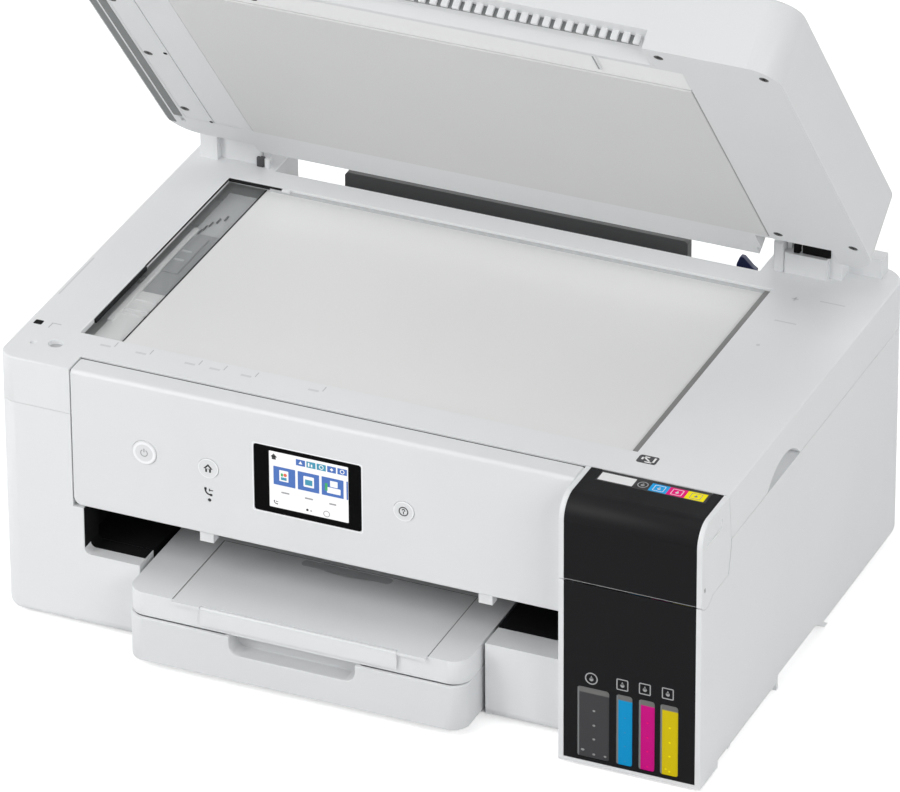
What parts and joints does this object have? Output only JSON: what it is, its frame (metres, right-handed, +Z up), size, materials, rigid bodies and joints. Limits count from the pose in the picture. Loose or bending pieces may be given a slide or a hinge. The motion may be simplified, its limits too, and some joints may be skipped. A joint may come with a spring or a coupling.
{
  "type": "multifunction printer",
  "caption": "Desktop inkjet printer with scanner under a tall open lid that holds a document feeder, front ink tank with coloured windows, tilting control panel and paper cassette",
  "frame": {"origin": "middle of the box around the whole printer in its rest pose, on the surface it stands on", "axes": "X to the right and Y to the back seen from the front of the printer, Z up; the rest pose is the lid open and everything else shut"},
  "size_m": [0.498, 0.358, 0.4839],
  "materials": {
    "case_white": "fine texture, satin",
    "panel_white": "fine texture, satin",
    "panel_black": "gloss",
    "tank_black": "satin",
    "paper_path_black": "matte",
    "steel_sheet": "zinc plated",
    "steel_rod": "ground",
    "dark_rubber": "matte",
    "motor_can": "satin",
    "board_green": "laminate",
    "grey_plastic": "matte",
    "blue_plastic": "matte",
    "glass_bed": "polished",
    "feeder_strip": "polished",
    "tank_clear": "translucent plastic",
    "display_glass": "lit screen",
    "lamp": "translucent",
    "inks": "liquid",
    "mat_white": "foam with film",
    "label": "printed film",
    "screw_steel": "zinc plated",
    "cap_black": "satin",
    "cap_cyan": "satin",
    "cap_magenta": "satin",
    "cap_yellow": "satin",
    "tube_clear": "translucent",
    "dark_grey": "matte"
  },
  "bodies": {
    "base": {"lower_case": "case_white", "case_feet": "dark_rubber", "chassis": "steel_sheet", "platen": "paper_path_black", "carriage_rod": "steel_rod", "carriage_belt": "dark_rubber", "carriage_motor": "motor_can", "head_cap": "grey_plastic", "ink_tubes": "tube_clear", "maintenance_box": "dark_grey", "main_board": "board_green", "rear_sockets": "dark_grey", "rear_feed_throat": "paper_path_black", "panel_brackets": "grey_plastic", "tank_fascia": "tank_black", "ink_tank_shells": "tank_clear", "ink_fill": "inks"},
    "rear_feed_cover": {"rear_feed_cover": "dark_grey"},
    "rear_edge_guide": {"rear_edge_guide": "blue_plastic"},
    "rear_cover": {"rear_cover": "case_white"},
    "feed_roller": {"feed_roller": "steel_rod"},
    "exit_roller": {"exit_roller": "dark_rubber"},
    "pickup_roller": {"pickup_roller": "dark_rubber"},
    "print_carriage": {"print_carriage": "dark_grey"},
    "control_panel": {"panel_shell": "panel_white", "status_lamp": "lamp", "screen_surround": "panel_black", "display": "display_glass"},
    "power_button": {"power_button": "panel_white"},
    "home_button": {"home_button": "panel_white"},
    "help_button": {"help_button": "panel_white"},
    "tank_cover": {"tank_cover": "case_white", "tank_cover_fascia": "tank_black", "tank_label": "label"},
    "black_tank_cap": {"black_tank_cap": "cap_black"},
    "cyan_tank_cap": {"cyan_tank_cap": "cap_cyan"},
    "magenta_tank_cap": {"magenta_tank_cap": "cap_magenta"},
    "yellow_tank_cap": {"yellow_tank_cap": "cap_yellow"},
    "cassette": {"paper_cassette": "case_white"},
    "cassette_left_guide": {"cassette_left_guide": "dark_grey"},
    "cassette_right_guide": {"cassette_right_guide": "dark_grey"},
    "output_tray": {"output_tray": "case_white"},
    "tray_extension": {"tray_extension": "case_white"},
    "tray_stopper": {"tray_stopper": "case_white"},
    "scanner_unit": {"scanner_frame": "case_white", "scanner_bed": "dark_grey", "platen_glass": "glass_bed", "feeder_glass": "feeder_strip", "scan_rod": "steel_rod", "hinge_brackets": "case_white"},
    "scan_carriage": {"scan_carriage": "dark_grey"},
    "lid": {"feeder_body": "case_white", "lid_base": "case_white", "document_mat": "mat_white", "feeder_backing": "mat_white", "lid_screws": "screw_steel", "lid_hinge_arms": "dark_grey"},
    "feeder_cover": {"feeder_cover": "case_white"},
    "feeder_tray": {"feeder_tray": "case_white"},
    "feeder_roller": {"feeder_roller": "dark_rubber"}
  },
  "joints": [
    {"name": "scanner_lift", "type": "hinge", "parent": "base", "child": "scanner_unit", "pos_m": [0, 0.174, 0.162], "axis": [-1, 0, 0], "range_deg": [0, 25]},
    {"name": "lid_hinge", "type": "hinge", "parent": "scanner_unit", "child": "lid", "pos_m": [0, 0.1597, 0.2298], "axis": [-1, 0, 0], "range_deg": [-51.7, 8]},
    {"name": "panel_tilt", "type": "hinge", "parent": "base", "child": "control_panel", "pos_m": [0, -0.144, 0.186], "axis": [-1, 0, 0], "range_deg": [0, 35]},
    {"name": "power_press", "type": "slide", "parent": "control_panel", "child": "power_button", "axis": [0, 1, 0], "range_m": [0, 0.001], "stiffness_N_per_m": 600},
    {"name": "home_press", "type": "slide", "parent": "control_panel", "child": "home_button", "axis": [0, 1, 0], "range_m": [0, 0.001], "stiffness_N_per_m": 600},
    {"name": "help_press", "type": "slide", "parent": "control_panel", "child": "help_button", "axis": [0, 1, 0], "range_m": [0, 0.001], "stiffness_N_per_m": 600},
    {"name": "tank_cover_hinge", "type": "hinge", "parent": "base", "child": "tank_cover", "pos_m": [0.2, -0.168, 0.1433], "axis": [1, 0, 0], "range_deg": [0, 80]},
    {"name": "black_cap_hinge", "type": "hinge", "parent": "base", "child": "black_tank_cap", "pos_m": [0.1764, -0.144, 0.1225], "axis": [-1, 0, 0], "range_deg": [0, 110]},
    {"name": "cyan_cap_hinge", "type": "hinge", "parent": "base", "child": "cyan_tank_cap", "pos_m": [0.1975, -0.144, 0.1225], "axis": [-1, 0, 0], "range_deg": [0, 110]},
    {"name": "magenta_cap_hinge", "type": "hinge", "parent": "base", "child": "magenta_tank_cap", "pos_m": [0.2127, -0.144, 0.1225], "axis": [-1, 0, 0], "range_deg": [0, 110]},
    {"name": "yellow_cap_hinge", "type": "hinge", "parent": "base", "child": "yellow_tank_cap", "pos_m": [0.22785, -0.144, 0.1225], "axis": [-1, 0, 0], "range_deg": [0, 110]},
    {"name": "cassette_slide", "type": "slide", "parent": "base", "child": "cassette", "axis": [0, -1, 0], "range_m": [0, 0.2]},
    {"name": "left_guide_slide", "type": "slide", "parent": "cassette", "child": "cassette_left_guide", "axis": [1, 0, 0], "range_m": [0, 0.05]},
    {"name": "right_guide_slide", "type": "slide", "parent": "cassette", "child": "cassette_right_guide", "axis": [-1, 0, 0], "range_m": [0, 0.05]},
    {"name": "output_tray_slide", "type": "slide", "parent": "base", "child": "output_tray", "axis": [0, -1, 0], "range_m": [0, 0.15]},
    {"name": "extension_slide", "type": "slide", "parent": "output_tray", "child": "tray_extension", "axis": [0, -1, 0], "range_m": [0, 0.065]},
    {"name": "stopper_hinge", "type": "hinge", "parent": "tray_extension", "child": "tray_stopper", "pos_m": [-0.026, -0.1776, 0.0535], "axis": [-1, 0, 0], "range_deg": [0, 110]},
    {"name": "feed_roller_spin", "type": "hinge", "parent": "base", "child": "feed_roller", "pos_m": [0, 0.045, 0.096], "axis": [1, 0, 0], "continuous": true},
    {"name": "exit_roller_spin", "type": "hinge", "parent": "base", "child": "exit_roller", "pos_m": [0, -0.05, 0.095], "axis": [1, 0, 0], "continuous": true},
    {"name": "pickup_roller_spin", "type": "hinge", "parent": "base", "child": "pickup_roller", "pos_m": [0, 0.092, 0.052], "axis": [1, 0, 0], "continuous": true},
    {"name": "print_carriage_slide", "type": "slide", "parent": "base", "child": "print_carriage", "axis": [-1, 0, 0], "range_m": [0, 0.228]},
    {"name": "scan_carriage_slide", "type": "slide", "parent": "scanner_unit", "child": "scan_carriage", "axis": [1, 0, 0], "range_m": [0, 0.355]},
    {"name": "rear_cover_slide", "type": "slide", "parent": "base", "child": "rear_cover", "axis": [0, 1, 0], "range_m": [0, 0.06]},
    {"name": "rear_feed_cover_hinge", "type": "hinge", "parent": "base", "child": "rear_feed_cover", "pos_m": [-0.025, 0.1715, 0.1685], "axis": [1, 0, 0], "range_deg": [0, 88]},
    {"name": "rear_guide_slide", "type": "slide", "parent": "base", "child": "rear_edge_guide", "axis": [-1, 0, 0], "range_m": [0, 0.028]},
    {"name": "feeder_cover_hinge", "type": "hinge", "parent": "lid", "child": "feeder_cover", "pos_m": [-0.2365, 0.0664, 0.36471], "axis": [0, -0.6198, 0.7848], "range_deg": [0, 75]},
    {"name": "feeder_tray_hinge", "type": "hinge", "parent": "lid", "child": "feeder_tray", "pos_m": [-0.0895, 0.0664, 0.36471], "axis": [0, -0.6198, 0.7848], "range_deg": [0, 40]},
    {"name": "feeder_roller_spin", "type": "hinge", "parent": "lid", "child": "feeder_roller", "pos_m": [-0.15, 0.05683, 0.35715], "axis": [0, -0.6198, 0.7848], "continuous": true}
  ],
  "couplings": [
    {"joint": "right_guide_slide", "follows": "left_guide_slide", "ratio": 1},
    {"joint": "exit_roller_spin", "follows": "feed_roller_spin", "ratio": 1.4}
  ]
}
